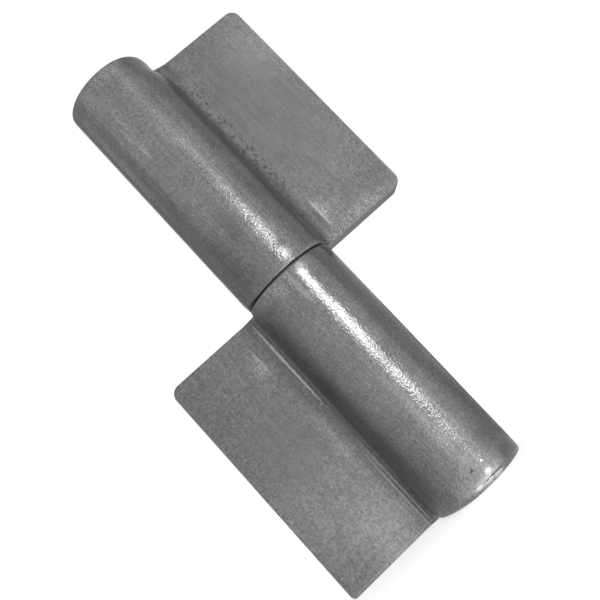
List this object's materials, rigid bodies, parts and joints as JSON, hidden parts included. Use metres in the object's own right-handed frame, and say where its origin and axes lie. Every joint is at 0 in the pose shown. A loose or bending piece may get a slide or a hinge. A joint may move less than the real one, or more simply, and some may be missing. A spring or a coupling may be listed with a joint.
{
  "type": "lift off hinge",
  "caption": "Weld-on lift-off hinge in bare rolled steel: a lower leaf with a fixed pin and an upper leaf whose closed barrel turns on it and lifts off upwards.",
  "frame": {"origin": "on the pin axis, halfway between the two barrels, which is the centre of the hinge's box when it is open flat", "axes": "+Z along the pin, the way the upper leaf lifts off; +X from the pin towards the upper leaf, with the lower leaf on -X; +Y out of the flush weld faces, so the barrels stand proud on the -Y side"},
  "size_m": [0.06, 0.019, 0.1],
  "materials": {
    "rolled_steel": "bare rolled steel with a dull grey oxide skin, fine grain and light handling marks",
    "pin_steel": "turned bright steel, lightly oiled",
    "washer_steel": "plain stamped steel"
  },
  "bodies": {
    "frame_half": {"frame_leaf": "rolled_steel", "hinge_pin": "pin_steel"},
    "washer": {"thrust_washer": "washer_steel"},
    "door_half": {"door_leaf": "rolled_steel"}
  },
  "joints": [
    {"name": "swing", "type": "hinge", "parent": "frame_half", "child": "washer", "pos_m": [0, 0, 0], "axis": [0, 0, 1], "continuous": true},
    {"name": "lift_off", "type": "slide", "parent": "washer", "child": "door_half", "axis": [0, 0, 1], "range_m": [0, 0.042]}
  ]
}
